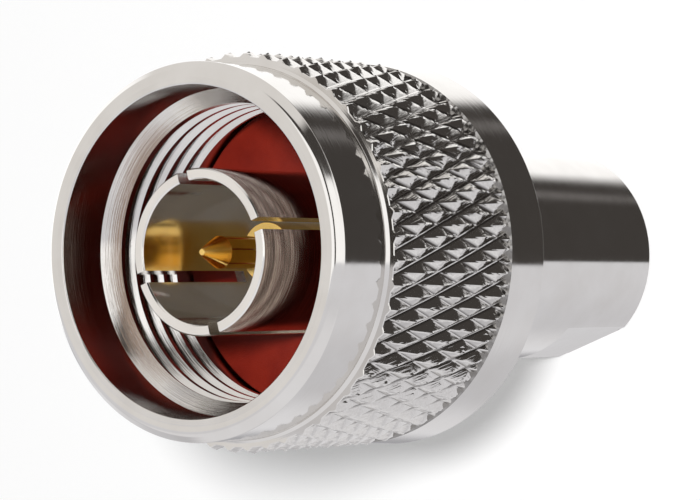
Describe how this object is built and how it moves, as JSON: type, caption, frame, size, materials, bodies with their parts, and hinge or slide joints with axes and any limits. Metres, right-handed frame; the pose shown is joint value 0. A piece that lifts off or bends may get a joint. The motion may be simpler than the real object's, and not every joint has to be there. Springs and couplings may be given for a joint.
{
  "type": "coaxial adapter",
  "caption": "Coaxial adapter: screw-on plug with a free-turning knurled coupling nut, slotted outer contact, red gasket and gold pin, on a plain barrel with wrench flats and a rear jack.",
  "frame": {"origin": "centre of the barrel's rear face, on which the adapter stands", "axes": "+Z along the connector's axis towards the plug's mouth; the wrench flats face +X and -X"},
  "size_m": [0.0197, 0.0196, 0.0332],
  "materials": {
    "nickel": "polished nickel plate on brass, fine turning marks",
    "contact_plate": "bright contact plating on spring brass",
    "spring": "bright spring wire",
    "gold": "gold plate",
    "silicone": "smooth dark red silicone",
    "insulator": "white fluoropolymer"
  },
  "bodies": {
    "barrel": {"body": "nickel", "outer_contact": "contact_plate", "front_insulator": "insulator", "rear_insulator": "insulator", "centre_pin": "gold", "socket_contact": "gold", "gasket": "silicone", "retaining_ring": "spring"},
    "nut": {"coupling_nut": "nickel"}
  },
  "joints": [
    {"name": "nut_turn", "type": "hinge", "parent": "barrel", "child": "nut", "pos_m": [0, 0, 0.025], "axis": [0, 0, 1], "continuous": true}
  ]
}
